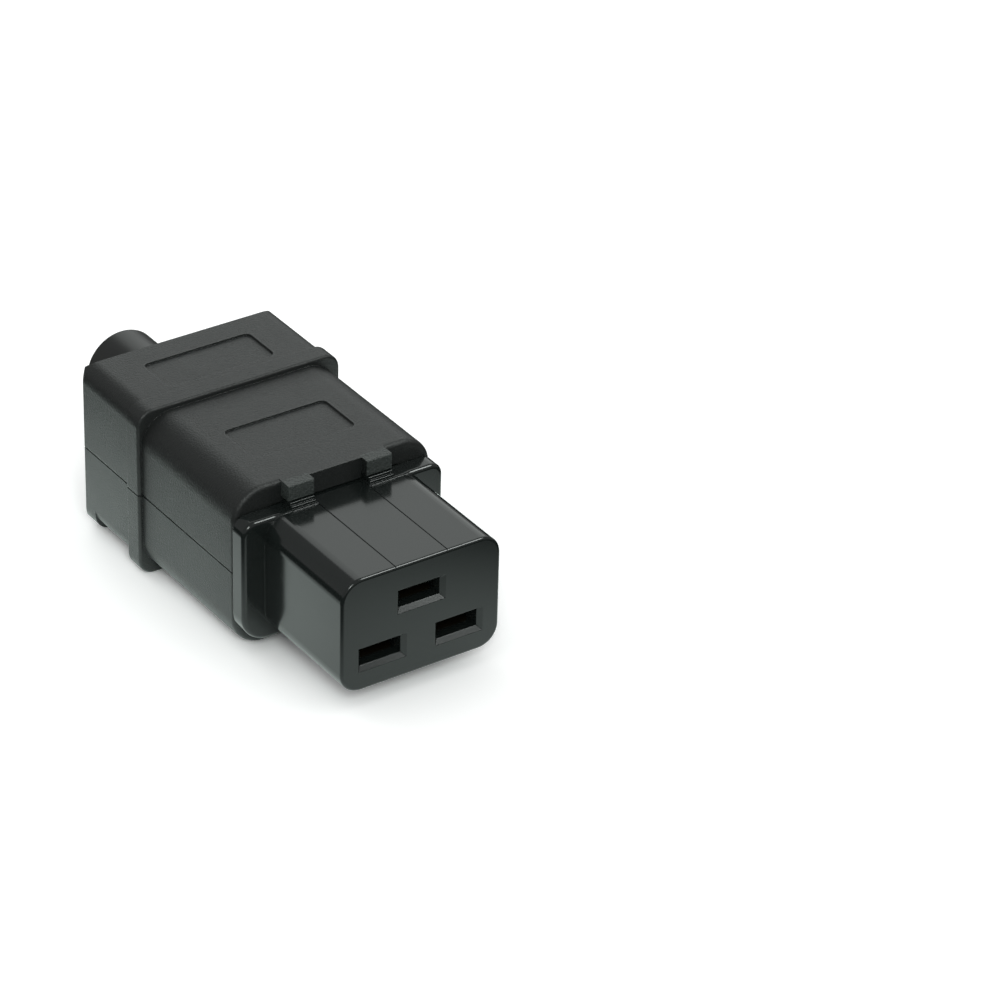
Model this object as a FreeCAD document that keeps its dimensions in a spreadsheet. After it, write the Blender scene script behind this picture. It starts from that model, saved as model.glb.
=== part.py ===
"""Rewireable C19 cord connector: two housing shells, contact insert, contacts, cord clamp and sleeve.

Frame: +Z up, mating face towards -Y, cord leaves towards +Y, millimetres. The origin is under the middle
of the connector, on the plane that the collar stands on.
"""

import FreeCAD
import Part
import Sketcher

import math
import os

from FreeCAD import Vector

DIMENSIONS = {
    # overall
    "overall_length": 88.4,
    "parting_gap": 0.25,
    "fit_clearance": 0.15,
    # nose and flange of the insert
    "nose_length": 21.4,
    "nose_width": 28.3,
    "nose_rise": 10.0,
    "nose_drop": 9.7,
    "nose_corner": 3.6,
    "nose_edge_fillet": 0.5,
    "flange_thickness": 2.95,
    "flange_side_step": 0.25,
    "flange_top_step": 0.15,
    "flange_bottom_step": 1.5,
    "flange_top_corner": 2.2,
    "flange_bottom_corner": 4.6,
    "flange_edge_fillet": 0.7,
    "flange_gap": 0.25,
    "seam_spacing": 9.2,
    "seam_width": 0.16,
    "seam_depth": 0.12,
    # blade slots
    "pole_spacing": 13.7,
    "pole_drop": 4.3,
    "earth_offset": 8.0,
    "slot_width": 7.2,
    "slot_height": 2.8,
    "slot_lead_in": 0.7,
    "slot_face_wall": 2.4,
    # lugs of the insert under the tongues of the upper shell
    "tongue_spacing": 14.0,
    "tongue_width": 4.6,
    "tongue_reach": 2.2,
    "tongue_depth": 2.65,
    "tongue_edge_fillet": 0.2,
    "brow_reach": 0.7,
    "lug_overhang": 0.25,
    "lug_step": 0.45,
    "lug_edge_fillet": 0.12,
    # front body of the housing
    "body_length": 27.0,
    "body_side_step": 3.6,
    "body_top_step": 3.85,
    "body_bottom_step": 4.1,
    "body_corner": 5.4,
    "body_edge_fillet": 0.8,
    "wall": 2.2,
    # collar
    "collar_length": 3.6,
    "collar_side_step": 0.7,
    "collar_top_step": 0.9,
    "collar_bottom_step": 1.0,
    "collar_corner": 2.8,
    "collar_edge_fillet": 0.45,
    "collar_lip_fillet": 0.2,
    # rear block
    "rear_length": 18.3,
    "rear_side_step": 0.2,
    "rear_top_step": 0.65,
    "rear_recess": 0.5,
    "rear_corner": 3.0,
    "corner_chamfer": 4.3,
    "top_chamfer": 4.1,
    "foot_chamfer": 3.4,
    "foot_length": 7.3,
    "foot_step": 1.0,
    "rear_wall": 5.0,
    # sunk label frames
    "label_depth": 0.3,
    "label_corner": 1.1,
    "front_label_width": 18.4,
    "front_label_length": 9.4,
    "front_label_setback": 7.7,
    "rear_label_width": 19.4,
    "rear_label_length": 8.2,
    "rear_label_setback": 1.4,
    # cable sleeve
    "sleeve_radius": 6.5,
    "sleeve_bore": 5.25,
    "sleeve_inner_bore": 4.6,
    "sleeve_bore_depth": 5.5,
    "sleeve_flare_radius": 8.0,
    "sleeve_flare_length": 0.7,
    "sleeve_rim_radius": 8.7,
    "sleeve_rim_thickness": 2.0,
    "sleeve_rim_setback": 1.8,
    "sleeve_end_round": 0.35,
    # insert behind the flange
    "insert_rib_thickness": 2.0,
    "insert_rib_clearance": 0.2,
    "terminal_block_clearance": 1.15,
    # contacts and terminals
    "contact_sheet": 0.8,
    "contact_side_gap": 0.2,
    "contact_mouth": 1.8,
    "contact_length": 15.5,
    "contact_recess": 0.6,
    "contact_lip": 0.35,
    "contact_lead_in": 1.2,
    "tail_margin": 0.1,
    "tail_setback": 2.95,
    "terminal_screw_radius": 1.5,
    "terminal_head_radius": 2.3,
    "terminal_head_height": 1.6,
    "terminal_screw_length": 5.0,
    "terminal_screw_setback": 5.2,
    "clamp_plate_thickness": 1.0,
    "clamp_plate_length": 6.0,
    "wire_space": 1.4,
    "bay_setback": 1.2,
    "thread_run_out": 0.4,
    # cord clamp
    "clamp_bore": 4.4,
    "clamp_gap": 0.6,
    "clamp_bar_width": 6.0,
    "clamp_bar_thickness": 2.6,
    "clamp_arch_wall": 1.25,
    "clamp_bar_margin": 0.3,
    "clamp_clearance": 0.2,
    "clamp_screw_radius": 1.45,
    "clamp_head_radius": 2.7,
    "clamp_head_height": 1.9,
    "clamp_screw_length": 11.0,
    # housing screws
    "screw_inset": 5.75,
    "screw_seat_drop": 8.0,
    "upper_boss_radius": 3.0,
    "lower_boss_radius": 3.6,
    "housing_screw_radius": 1.5,
    "housing_head_radius": 2.8,
    "housing_head_height": 2.0,
    "housing_screw_length": 17.0,
    "front_screw_setback": 4.4,
    "rear_boss_clearance": 0.4,
    "boss_sink": 1.8,
    # cross recess in every screw head
    "recess_width": 0.9,
    "recess_depth": 0.9,
    "recess_share": 0.6,
    "screw_point_chamfer": 0.4,
    "screw_head_chamfer": 0.4,
}


# Two coordinates closer than this are the same place, and a smaller change of volume is none.
SAME_PLACE = 1e-4
NO_VOLUME = 1e-6

document = FreeCAD.newDocument("c19_connector")


def make_sheet():
    """Put every driving dimension in a spreadsheet cell that has its name as alias."""
    sheet = document.addObject("Spreadsheet::Sheet", "dims")
    for row, (name, value) in enumerate(DIMENSIONS.items(), start=1):
        sheet.set(f"A{row}", name)
        sheet.set(f"B{row}", str(value))
        sheet.setAlias(f"B{row}", name)
    document.recompute()
    return sheet


sheet = make_sheet()


def value(expression):
    """Work out an expression on the sheet's cells."""
    result = sheet.evalExpression(expression)
    return getattr(result, "Value", result)


# Widths, and heights above and below the parting plane, from the nose outwards.
BODY_WIDTH = "(dims.nose_width + 2 * dims.body_side_step)"
BODY_RISE = "(dims.nose_rise + dims.body_top_step)"
BODY_DROP = "(dims.nose_drop + dims.body_bottom_step)"
FLANGE_WIDTH = f"({BODY_WIDTH} + 2 * dims.flange_side_step)"
FLANGE_RISE = "(dims.nose_rise + dims.flange_top_step)"
FLANGE_DROP = "(dims.nose_drop + dims.flange_bottom_step)"
COLLAR_WIDTH = f"({BODY_WIDTH} + 2 * dims.collar_side_step)"
COLLAR_RISE = f"({BODY_RISE} + dims.collar_top_step)"
PARTING = f"({BODY_DROP} + dims.collar_bottom_step)"
REAR_WIDTH = f"({BODY_WIDTH} + 2 * dims.rear_side_step)"
REAR_RISE = f"({BODY_RISE} + dims.rear_top_step)"
REAR_DROP = f"({BODY_DROP} - dims.rear_recess)"
FOOT_DROP = f"({REAR_DROP} + dims.foot_step)"
CAVITY_WIDTH = f"({BODY_WIDTH} - 2 * dims.wall)"
CAVITY_RISE = f"({BODY_RISE} - dims.wall)"
CAVITY_CORNER = "(dims.body_corner - dims.wall)"

# Stations along Y, from the mating face to the sleeve's end.
TIP = "(-dims.overall_length / 2)"
FLANGE_FRONT = f"({TIP} + dims.nose_length)"
FLANGE_REAR = f"({FLANGE_FRONT} + dims.flange_thickness)"
SHELL_FRONT = f"({FLANGE_REAR} + dims.flange_gap)"
TONGUE_FRONT = f"({SHELL_FRONT} - dims.tongue_reach)"
FRONT_WALL_REAR = f"({SHELL_FRONT} + dims.wall)"
RIB_FRONT = f"({FRONT_WALL_REAR} + dims.fit_clearance)"
RIB_REAR = f"({RIB_FRONT} + dims.insert_rib_thickness)"
COLLAR_FRONT = f"({SHELL_FRONT} + dims.body_length)"
COLLAR_REAR = f"({COLLAR_FRONT} + dims.collar_length)"
REAR_FACE = f"({COLLAR_REAR} + dims.rear_length)"
REAR_WALL_FRONT = f"({REAR_FACE} - dims.rear_wall)"
SLEEVE_END = "(dims.overall_length / 2)"
CLAMP_REAR = f"({REAR_WALL_FRONT} - dims.clamp_clearance)"
CLAMP_FRONT = f"({CLAMP_REAR} - dims.clamp_bar_width)"
CLAMP_Y = f"(({CLAMP_FRONT} + {CLAMP_REAR}) / 2)"
FRONT_SCREW_Y = f"({COLLAR_FRONT} - dims.front_screw_setback)"
REAR_SCREW_Y = f"({CLAMP_FRONT} - dims.rear_boss_clearance - dims.upper_boss_radius)"
BLOCK_REAR = f"({FRONT_SCREW_Y} - dims.lower_boss_radius - dims.terminal_block_clearance)"
TERMINAL_Y = f"({BLOCK_REAR} - dims.terminal_screw_setback)"

# The middle plane across the connector, and the plane that the collar stands on.
MIDDLE = "(dims.pole_spacing * 0)"

# Levels along Z.
BODY_TOP = f"({PARTING} + {BODY_RISE})"
REAR_TOP = f"({PARTING} + {REAR_RISE})"
FOOT_BOTTOM = f"({PARTING} - {FOOT_DROP})"
NOSE_TOP = f"({PARTING} + dims.nose_rise)"
FLANGE_TOP = f"({PARTING} + {FLANGE_RISE})"
TONGUE_BOTTOM = f"({BODY_TOP} - dims.tongue_depth)"
LUG_TOP = f"({TONGUE_BOTTOM} - dims.fit_clearance)"
POLE_Z = f"({PARTING} - dims.pole_drop)"
EARTH_Z = f"({POLE_Z} + dims.earth_offset)"
SEAT_Z = f"({PARTING} - dims.screw_seat_drop)"
CLAMP_SEAT = f"({PARTING} + dims.clamp_gap + dims.clamp_bar_thickness)"

# Each contact: name, its place across the connector, its level.
POLES = (
    ("line", "(-dims.pole_spacing / 2)", POLE_Z),
    ("neutral", "(dims.pole_spacing / 2)", POLE_Z),
    ("earth", MIDDLE, EARTH_Z),
)

PLANES = {"X": "YZ_Plane", "Y": "XZ_Plane", "Z": "XY_Plane"}


# --- sketch profiles -------------------------------------------------------------------------------


def place(sketch, geometry, point, axis, expression):
    """Tie one coordinate of a point of the sketch to an expression."""
    kind = "DistanceX" if axis == 0 else "DistanceY"
    row = sketch.addConstraint(Sketcher.Constraint(kind, -1, 1, geometry, point, value(expression)))
    sketch.setExpression(f"Constraints[{row}]", expression)


def spread(centre, width):
    """The two ends of a width round a centre."""
    return f"({centre} - ({width}) / 2)", f"({centre} + ({width}) / 2)"


def polygon(*points):
    """A closed outline through points whose two coordinates are expressions."""

    def draw(sketch):
        corners = [Vector(value(u), value(v), 0) for u, v in points]
        lines = []
        for start, end in zip(corners, corners[1:] + corners[:1]):
            lines.append(sketch.addGeometry(Part.LineSegment(start, end), False))
        for line, after in zip(lines, lines[1:] + lines[:1]):
            sketch.addConstraint(Sketcher.Constraint("Coincident", line, 2, after, 1))
        for line, (u, v) in zip(lines, points):
            place(sketch, line, 1, 0, u)
            place(sketch, line, 1, 1, v)

    return draw


def rectangle(left, right, bottom, top):
    """A rectangle between four expressions."""
    return polygon((left, bottom), (right, bottom), (right, top), (left, top))


def rounded_rectangle(left, right, bottom, top, lower_radius, upper_radius):
    """A rectangle between four expressions, with one radius for its lower and one for its upper corners."""

    def draw(sketch):
        x1, x2, y1, y2 = (value(side) for side in (left, right, bottom, top))
        low, high = value(lower_radius), value(upper_radius)
        sides = (
            Part.LineSegment(Vector(x1 + low, y1, 0), Vector(x2 - low, y1, 0)),
            Part.LineSegment(Vector(x2, y1 + low, 0), Vector(x2, y2 - high, 0)),
            Part.LineSegment(Vector(x2 - high, y2, 0), Vector(x1 + high, y2, 0)),
            Part.LineSegment(Vector(x1, y2 - high, 0), Vector(x1, y1 + low, 0)),
        )
        corners = (
            (x2 - low, y1 + low, low, 270),
            (x2 - high, y2 - high, high, 0),
            (x1 + high, y2 - high, high, 90),
            (x1 + low, y1 + low, low, 180),
        )
        lines = [sketch.addGeometry(side, False) for side in sides]
        arcs = []
        for x, y, radius, start in corners:
            circle = Part.Circle(Vector(x, y, 0), Vector(0, 0, 1), radius)
            arc = Part.ArcOfCircle(circle, math.radians(start), math.radians(start + 90))
            arcs.append(sketch.addGeometry(arc, False))
        for line, arc, after in zip(lines, arcs, lines[1:] + lines[:1]):
            sketch.addConstraint(Sketcher.Constraint("Tangent", line, 2, arc, 1))
            sketch.addConstraint(Sketcher.Constraint("Tangent", arc, 2, after, 1))
        for line, kind in zip(lines, ("Horizontal", "Vertical", "Horizontal", "Vertical")):
            sketch.addConstraint(Sketcher.Constraint(kind, line))
        for line, axis, side in zip(lines, (1, 0, 1, 0), (bottom, right, top, left)):
            place(sketch, line, 1, axis, side)
        for arc, radius in zip(arcs, (lower_radius, upper_radius, upper_radius, lower_radius)):
            row = sketch.addConstraint(Sketcher.Constraint("Radius", arc, value(radius)))
            sketch.setExpression(f"Constraints[{row}]", radius)

    return draw


def circles(radius, *centres):
    """Circles of one radius round centres given as expressions."""

    def draw(sketch):
        for u, v in centres:
            circle = Part.Circle(Vector(value(u), value(v), 0), Vector(0, 0, 1), value(radius))
            geometry = sketch.addGeometry(circle, False)
            row = sketch.addConstraint(Sketcher.Constraint("Radius", geometry, value(radius)))
            sketch.setExpression(f"Constraints[{row}]", radius)
            place(sketch, geometry, 3, 0, u)
            place(sketch, geometry, 3, 1, v)

    return draw


def section(width, rise, drop, lower_radius, upper_radius):
    """A cross-section of the connector, as wide as width and so far above and below the parting plane."""
    return rounded_rectangle(
        f"-({width}) / 2", f"({width}) / 2", f"{PARTING} - ({drop})", f"{PARTING} + ({rise})",
        lower_radius, upper_radius,
    )


# --- features --------------------------------------------------------------------------------------


def sketch_on(body, name, axis, offset, draw):
    """A sketch on the body's own plane across an axis, moved along that axis's sketch normal."""
    sketch = body.newObject("Sketcher::SketchObject", f"{name}_sketch")
    plane = next(item for item in body.Origin.OriginFeatures if item.Role == PLANES[axis])
    sketch.AttachmentSupport = [(plane, "")]
    sketch.MapMode = "FlatFace"
    if offset:
        sketch.setExpression("AttachmentOffset.Base.z", offset)
    draw(sketch)
    return sketch


def prism(body, kind, name, axis, start, end, draw):
    """Pad or pocket a profile between two stations on an axis, and check that the volume changed."""
    before = body.Shape.Volume if body.Tip else 0.0
    # The XZ plane looks along -Y, so its stations change sign and swap ends.
    if axis == "Y":
        offset = f"-({end})" if kind == "Pad" else f"-({start})"
    else:
        offset = start if kind == "Pad" else end
    sketch = sketch_on(body, name, axis, offset, draw)
    feature = body.newObject(f"PartDesign::{kind}", name)
    feature.Profile = sketch
    feature.setExpression("Length", f"({end}) - ({start})")
    document.recompute()
    change = body.Shape.Volume - before
    if (change > 0) != (kind == "Pad") or abs(change) < NO_VOLUME:
        raise RuntimeError(f"{body.Name}.{name} changed the volume by {change:.4f}")
    return feature


def edges_where(body, test):
    """Names of the body's edges whose vertices and middle point all pass a test."""
    names = []
    for number, edge in enumerate(body.Shape.Edges, start=1):
        middle = edge.valueAt((edge.FirstParameter + edge.LastParameter) / 2)
        points = [vertex.Point for vertex in edge.Vertexes] + [middle]
        if all(test(point) for point in points):
            names.append(f"Edge{number}")
    return names


def dress(body, kind, name, size, test):
    """Fillet or chamfer the edges of the body that pass a test."""
    base = body.Tip
    edges = edges_where(body, test)
    feature = body.newObject(f"PartDesign::{kind}", name)
    feature.Base = (base, edges)
    feature.setExpression("Radius" if kind == "Fillet" else "Size", size)
    document.recompute()
    return feature


def near(first, second):
    """Whether two coordinates are the same place."""
    return abs(first - second) < SAME_PLACE


def new_body(name):
    """A body whose label names its file."""
    body = document.addObject("PartDesign::Body", name)
    body.Label = name
    return body


# --- housing shells --------------------------------------------------------------------------------

CAVITY_STEP = f"({COLLAR_REAR} - dims.wall)"
GROOVE_REAR = f"({REAR_FACE} - dims.sleeve_rim_setback)"
GROOVE_FRONT = f"({GROOVE_REAR} - dims.sleeve_rim_thickness)"
CROWN_HALF = "(dims.clamp_bore + dims.clamp_arch_wall)"
CLAMP_X = f"({CROWN_HALF} + dims.clamp_head_radius + dims.fit_clearance)"
BAR_HALF = f"({CLAMP_X} + dims.clamp_head_radius + dims.clamp_bar_margin)"
HOLES = [
    (f"({side} * ({BODY_WIDTH} / 2 - dims.screw_inset))", station, floor)
    for station, floor in ((FRONT_SCREW_Y, BODY_DROP), (REAR_SCREW_Y, REAR_DROP))
    for side in (-1, 1)
]
CLAMP_HOLES = [(f"({side} * {CLAMP_X})", CLAMP_Y) for side in (-1, 1)]


def closed_housing(body):
    """The outside of the closed housing, hollowed, with the openings for the insert and the sleeve."""
    front = section(BODY_WIDTH, BODY_RISE, BODY_DROP, "dims.body_corner", "dims.body_corner")
    prism(body, "Pad", "front_body", "Y", SHELL_FRONT, COLLAR_REAR, front)
    dress(body, "Fillet", "front_rim", "dims.body_edge_fillet", lambda p: near(p.y, value(SHELL_FRONT)))
    rear = section(REAR_WIDTH, REAR_RISE, REAR_DROP, "dims.rear_corner", "dims.rear_corner")
    prism(body, "Pad", "rear_block", "Y", COLLAR_FRONT, REAR_FACE, rear)
    foot = section(REAR_WIDTH, REAR_RISE, FOOT_DROP, "dims.rear_corner", "dims.rear_corner")
    prism(body, "Pad", "foot", "Y", f"({REAR_FACE} - dims.foot_length)", REAR_FACE, foot)
    rear_chamfers(body)
    collar = section(COLLAR_WIDTH, COLLAR_RISE, PARTING, "dims.collar_corner", "dims.collar_corner")
    prism(body, "Pad", "collar", "Y", COLLAR_FRONT, COLLAR_REAR, collar)
    dress(body, "Fillet", "collar_front_rim", "dims.collar_edge_fillet", collar_rim(COLLAR_FRONT))
    dress(body, "Fillet", "collar_rear_rim", "dims.collar_lip_fillet", collar_rim(COLLAR_REAR))
    front_floor = f"({BODY_DROP} - dims.wall)"
    front_room = section(CAVITY_WIDTH, CAVITY_RISE, front_floor, CAVITY_CORNER, CAVITY_CORNER)
    prism(body, "Pocket", "front_room", "Y", FRONT_WALL_REAR, CAVITY_STEP, front_room)
    rear_floor = f"({REAR_DROP} - dims.wall)"
    rear_room = section(CAVITY_WIDTH, CAVITY_RISE, rear_floor, CAVITY_CORNER, CAVITY_CORNER)
    prism(body, "Pocket", "rear_room", "Y", CAVITY_STEP, REAR_WALL_FRONT, rear_room)
    neck = section(
        "(dims.nose_width + 2 * dims.fit_clearance)", "(dims.nose_rise + dims.fit_clearance)",
        "dims.nose_drop", "dims.nose_corner", "dims.nose_corner",
    )
    prism(body, "Pocket", "neck_opening", "Y", SHELL_FRONT, FRONT_WALL_REAR, neck)
    sleeve_hole = circles("(dims.sleeve_radius + dims.fit_clearance)", (MIDDLE, PARTING))
    prism(body, "Pocket", "sleeve_hole", "Y", REAR_WALL_FRONT, REAR_FACE, sleeve_hole)
    groove = circles("(dims.sleeve_rim_radius + dims.fit_clearance)", (MIDDLE, PARTING))
    prism(body, "Pocket", "rim_groove", "Y", GROOVE_FRONT, GROOVE_REAR, groove)


def collar_rim(station):
    """Edges of the collar's outer rim at a station."""

    def test(point):
        side = abs(point.x) > value(f"{REAR_WIDTH} / 2") + SAME_PLACE
        top = point.z > value(REAR_TOP) + SAME_PLACE
        bottom = point.z < value("dims.collar_bottom_step") - SAME_PLACE
        return near(point.y, value(station)) and (side or top or bottom or corner_of_collar(point))

    return test


def corner_of_collar(point):
    """Whether a point lies on one of the collar's rounded corners."""
    radius = value("dims.collar_corner")
    x = value(f"{COLLAR_WIDTH} / 2") - radius
    high = value(f"{PARTING} + {COLLAR_RISE}") - radius
    low = radius
    z = high if point.z > value(PARTING) else low
    return near(math.hypot(abs(point.x) - x, point.z - z), radius)


def rear_chamfers(body):
    """Cut the slopes round the rear face: both upright corners, the top edge and the bottom edge."""
    top = f"({PARTING} + {COLLAR_RISE})"
    start = f"({REAR_FACE} - dims.corner_chamfer)"
    for name, side in (("left", -1), ("right", 1)):
        outer = f"({side} * {REAR_WIDTH} / 2)"
        inner = f"({side} * ({REAR_WIDTH} / 2 - dims.corner_chamfer))"
        corner = polygon((outer, start), (outer, REAR_FACE), (inner, REAR_FACE))
        prism(body, "Pocket", f"{name}_corner", "Z", MIDDLE, top, corner)
    edge = f"({REAR_FACE} - dims.top_chamfer)"
    upper = polygon(
        (edge, REAR_TOP), (REAR_FACE, REAR_TOP), (REAR_FACE, f"({REAR_TOP} - dims.top_chamfer)")
    )
    prism(body, "Pocket", "top_slope", "X", f"(-{REAR_WIDTH} / 2)", f"({REAR_WIDTH} / 2)", upper)
    edge = f"({REAR_FACE} - dims.foot_chamfer)"
    lower = polygon(
        (edge, FOOT_BOTTOM), (REAR_FACE, FOOT_BOTTOM), (REAR_FACE, f"({FOOT_BOTTOM} + dims.foot_chamfer)")
    )
    prism(body, "Pocket", "bottom_slope", "X", f"(-{REAR_WIDTH} / 2)", f"({REAR_WIDTH} / 2)", lower)


def halve(body, start, end):
    """Cut away the part of the closed housing between two levels."""
    half = f"({COLLAR_WIDTH} / 2 + dims.wall)"
    everything = rectangle(f"-{half}", half, TIP, SLEEVE_END)
    prism(body, "Pocket", "other_half", "Z", start, end, everything)


def make_upper_shell():
    """The shell above the parting plane, with its screw bosses, label frames, front tongues and brow."""
    body = new_body("upper_shell")
    closed_housing(body)
    halve(body, MIDDLE, f"({PARTING} + dims.parting_gap / 2)")
    ceiling = f"({BODY_TOP} - dims.wall / 2)"
    top = f"({SEAT_Z} + dims.housing_screw_length + dims.thread_run_out)"
    for number, (x, y, _) in enumerate(HOLES, start=1):
        boss = circles("dims.upper_boss_radius", (x, y))
        prism(body, "Pad", f"boss_{number}", "Z", PARTING, ceiling, boss)
        thread = circles("dims.housing_screw_radius", (x, y))
        prism(body, "Pocket", f"thread_{number}", "Z", PARTING, top, thread)
    labels = (
        ("front_label", f"({SHELL_FRONT} + dims.front_label_setback)", BODY_TOP),
        ("rear_label", f"({COLLAR_REAR} + dims.rear_label_setback)", REAR_TOP),
    )
    for name, start, level in labels:
        frame = rounded_rectangle(
            f"(-dims.{name}_width / 2)", f"(dims.{name}_width / 2)", start, f"({start} + dims.{name}_length)",
            "dims.label_corner", "dims.label_corner",
        )
        prism(body, "Pocket", name, "Z", f"({level} - dims.label_depth)", level, frame)
    for name, side in (("left", -1), ("right", 1)):
        left, right = spread(f"({side} * dims.tongue_spacing / 2)", "dims.tongue_width")
        tongue = rectangle(left, right, TONGUE_FRONT, FRONT_WALL_REAR)
        prism(body, "Pad", f"{name}_tongue", "Z", TONGUE_BOTTOM, BODY_TOP, tongue)
    dress(body, "Fillet", "tongue_ends", "dims.tongue_edge_fillet", lambda p: near(p.y, value(TONGUE_FRONT)))
    left, right = spread(MIDDLE, "dims.tongue_spacing - dims.tongue_width")
    brow = rectangle(left, right, f"({SHELL_FRONT} - dims.brow_reach)", FRONT_WALL_REAR)
    prism(body, "Pad", "brow", "Z", f"({FLANGE_TOP} + dims.fit_clearance)", BODY_TOP, brow)
    return body


def make_lower_shell():
    """The shell below the parting plane, with its sunk screw seats and the saddle of the cord clamp."""
    body = new_body("lower_shell")
    closed_housing(body)
    halve(body, f"({PARTING} - dims.parting_gap / 2)", f"({PARTING} + {COLLAR_RISE})")
    saddle = rectangle(f"-{BAR_HALF}", BAR_HALF, CLAMP_FRONT, REAR_WALL_FRONT)
    floor = f"({PARTING} - {REAR_DROP} + dims.wall / 2)"
    prism(body, "Pad", "saddle", "Z", floor, PARTING, saddle)
    trough = circles("dims.clamp_bore", (MIDDLE, PARTING))
    prism(body, "Pocket", "cord_trough", "Y", CLAMP_FRONT, REAR_WALL_FRONT, trough)
    bottom = f"({CLAMP_SEAT} - dims.clamp_screw_length - dims.thread_run_out)"
    threads = circles("dims.clamp_screw_radius", *CLAMP_HOLES)
    prism(body, "Pocket", "clamp_threads", "Z", bottom, PARTING, threads)
    for number, (x, y, drop) in enumerate(HOLES, start=1):
        floor = f"({PARTING} - {drop} + dims.boss_sink)"
        boss = circles("dims.lower_boss_radius", (x, y))
        prism(body, "Pad", f"boss_{number}", "Z", floor, PARTING, boss)
        shank = circles("(dims.housing_screw_radius + dims.fit_clearance)", (x, y))
        prism(body, "Pocket", f"shank_hole_{number}", "Z", SEAT_Z, PARTING, shank)
        head = circles("(dims.housing_head_radius + dims.fit_clearance)", (x, y))
        prism(body, "Pocket", f"head_hole_{number}", "Z", f"({PARTING} - {drop})", SEAT_Z, head)
    return body


# --- insert ----------------------------------------------------------------------------------------

CONTACT_HALF = "(dims.contact_mouth / 2 + dims.contact_sheet)"
CONTACT_FRONT = f"({TIP} + dims.slot_face_wall + dims.contact_recess)"
CONTACT_REAR = f"({CONTACT_FRONT} + dims.contact_length)"
CONTACT_WIDTH = "(dims.slot_width - 2 * dims.contact_side_gap)"
TAIL_WIDTH = "(2 * (dims.terminal_head_radius + dims.tail_margin))"
BAY_FRONT = f"({RIB_REAR} + dims.bay_setback)"
# Each stair of a lug, from the top: its front, and the level of the next one.
STAIRS = [
    (f"({TONGUE_FRONT} - dims.lug_overhang)", f"({LUG_TOP} - dims.lug_step)"),
    (f"({TONGUE_FRONT} - dims.lug_overhang - dims.lug_step)", f"({LUG_TOP} - 2 * dims.lug_step)"),
    (f"({TONGUE_FRONT} - dims.lug_overhang - 2 * dims.lug_step)", EARTH_Z),
]


def make_insert():
    """The moulded insert: nose with three blade slots, flange, neck, rib and open terminal block."""
    body = new_body("nose_insert")
    corner = "dims.nose_corner"
    nose = section("dims.nose_width", "dims.nose_rise", "dims.nose_drop", corner, corner)
    prism(body, "Pad", "nose", "Y", TIP, BLOCK_REAR, nose)
    dress(body, "Fillet", "nose_rim", "dims.nose_edge_fillet", lambda p: near(p.y, value(TIP)))
    flange = section(
        FLANGE_WIDTH, FLANGE_RISE, FLANGE_DROP, "dims.flange_bottom_corner", "dims.flange_top_corner"
    )
    prism(body, "Pad", "flange", "Y", FLANGE_FRONT, FLANGE_REAR, flange)
    dress(body, "Fillet", "flange_rim", "dims.flange_edge_fillet", flange_rim)
    gap = "dims.insert_rib_clearance"
    rib = section(
        f"({CAVITY_WIDTH} - 2 * {gap})", f"({CAVITY_RISE} - {gap})", f"({BODY_DROP} - dims.wall - {gap})",
        corner, corner,
    )
    prism(body, "Pad", "rib", "Y", RIB_FRONT, RIB_REAR, rib)
    left, right = spread(MIDDLE, "dims.seam_spacing")
    level = rectangle(left, right, FLANGE_FRONT, FLANGE_REAR)
    prism(body, "Pocket", "level_middle", "Z", NOSE_TOP, FLANGE_TOP, level)
    for name, side in (("left", -1), ("right", 1)):
        lug_width = "dims.tongue_width - 2 * dims.fit_clearance"
        left, right = spread(f"({side} * dims.tongue_spacing / 2)", lug_width)
        prism(body, "Pad", f"{name}_lug", "X", left, right, lug_stairs())
        left, right = spread(f"({side} * dims.seam_spacing / 2)", "dims.seam_width")
        seam = rectangle(left, right, TIP, FLANGE_FRONT)
        prism(body, "Pocket", f"{name}_seam", "Z", f"({NOSE_TOP} - dims.seam_depth)", NOSE_TOP, seam)
    dress(body, "Fillet", "lug_noses", "dims.lug_edge_fillet", lug_nose)
    for name, x, z in POLES:
        contact_space(body, name, x, z)
    return body


def lug_stairs():
    """The side outline of a lug: stairs that climb from the flange's front to the tongue above."""
    corners = [(FLANGE_REAR, EARTH_Z), (FLANGE_REAR, LUG_TOP)]
    for front, top in STAIRS:
        corners += [(front, corners[-1][1]), (front, top)]
    return polygon(*corners)


def lug_nose(point):
    """Whether a point lies on the upper edge of one of a lug's stairs."""
    edges = zip(STAIRS, (LUG_TOP, *(top for _, top in STAIRS)))
    return any(near(point.y, value(front)) and near(point.z, value(top)) for (front, _), top in edges)


def flange_rim(point):
    """Whether a point lies on the outer front rim of the flange."""
    return near(point.y, value(FLANGE_FRONT)) and (
        abs(point.x) > value("dims.nose_width / 2") + SAME_PLACE
        or abs(point.z - value(PARTING)) > value("dims.nose_rise") + SAME_PLACE
    )


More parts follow.
